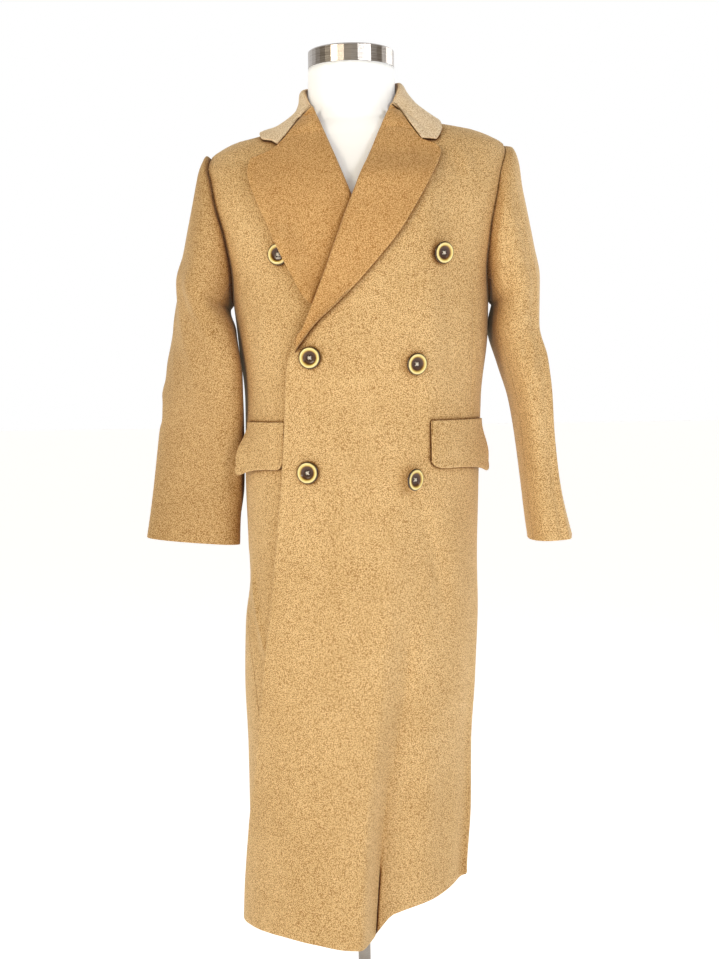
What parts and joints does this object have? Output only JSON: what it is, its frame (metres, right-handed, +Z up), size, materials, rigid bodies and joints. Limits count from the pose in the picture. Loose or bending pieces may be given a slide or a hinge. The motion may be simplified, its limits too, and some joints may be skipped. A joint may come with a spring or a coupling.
{
  "type": "wool overcoat on a dress form",
  "caption": "Long double-breasted wool overcoat with wide notch lapels and flapped pockets, hanging open at hem and cuffs on a limbless dress form with neck cap, pole and round foot.",
  "frame": {"origin": "centre of the round foot's underside, on the floor", "axes": "+Z up along the pole, -Y the way the coat faces, +X towards the viewer's right, which is the wearer's left"},
  "size_m": [0.6164, 0.3597, 1.5015],
  "materials": {
    "wool": "brushed camel wool coating",
    "horn": "polished horn-coloured resin",
    "form_cover": "white jersey",
    "cap_steel": "brushed",
    "stand_steel": "satin"
  },
  "bodies": {
    "root": {"front_left": "wool", "front_right": "wool", "back_left": "wool", "back_right": "wool", "sleeve_left_top": "wool", "sleeve_left_under": "wool", "sleeve_right_top": "wool", "sleeve_right_under": "wool", "collar": "wool", "lapel_left": "wool", "lapel_right": "wool", "pocket_flap_left": "wool", "pocket_flap_right": "wool", "button_upper_left": "horn", "button_upper_right": "horn", "button_middle_left": "horn", "button_middle_right": "horn", "button_lower_left": "horn", "button_lower_right": "horn", "form_body": "form_cover", "neck_cap": "cap_steel", "form_socket": "stand_steel", "pole": "stand_steel", "foot_socket": "stand_steel", "foot": "stand_steel"}
  },
  "joints": []
}
